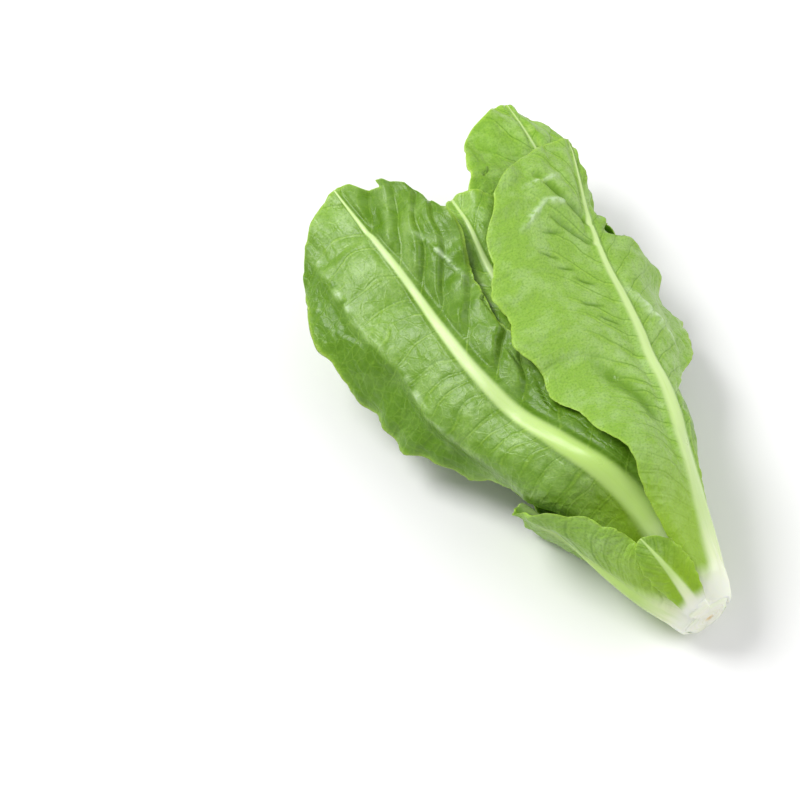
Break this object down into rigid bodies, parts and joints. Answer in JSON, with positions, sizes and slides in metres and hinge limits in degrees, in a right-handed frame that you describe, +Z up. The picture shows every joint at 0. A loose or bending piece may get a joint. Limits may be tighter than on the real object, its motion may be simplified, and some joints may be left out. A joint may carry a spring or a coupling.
{
  "type": "romaine lettuce head",
  "caption": "Head of romaine lettuce lying on its side, with long ribbed leaves wrapped round a short cut stem.",
  "frame": {"origin": "bottom centre of the head's box, on the surface it lies on", "axes": "+Z up, +Y along the head from the cut stem to the leaf tips, +X across it"},
  "size_m": [0.1978, 0.3158, 0.092],
  "materials": {
    "stem": "moist, smooth cut face",
    "outer_leaf": "waxy, half glossy, quilted between the veins",
    "middle_leaf": "waxy, half glossy, quilted between the veins",
    "heart_leaf": "pale, smooth and half glossy"
  },
  "bodies": {
    "root": {"stem": "stem", "basal_leaf": "outer_leaf", "outer_leaf_left": "outer_leaf", "outer_leaf_right": "outer_leaf", "outer_leaf_back": "outer_leaf", "front_leaf": "outer_leaf", "side_leaf_right": "outer_leaf", "back_leaf_left": "outer_leaf", "middle_leaf_front": "middle_leaf", "back_leaf_right": "middle_leaf", "middle_leaf_left": "middle_leaf", "tall_leaf": "middle_leaf", "heart_leaf_back": "heart_leaf", "heart_leaf_front": "heart_leaf", "heart_leaf_inner": "heart_leaf"}
  },
  "joints": []
}
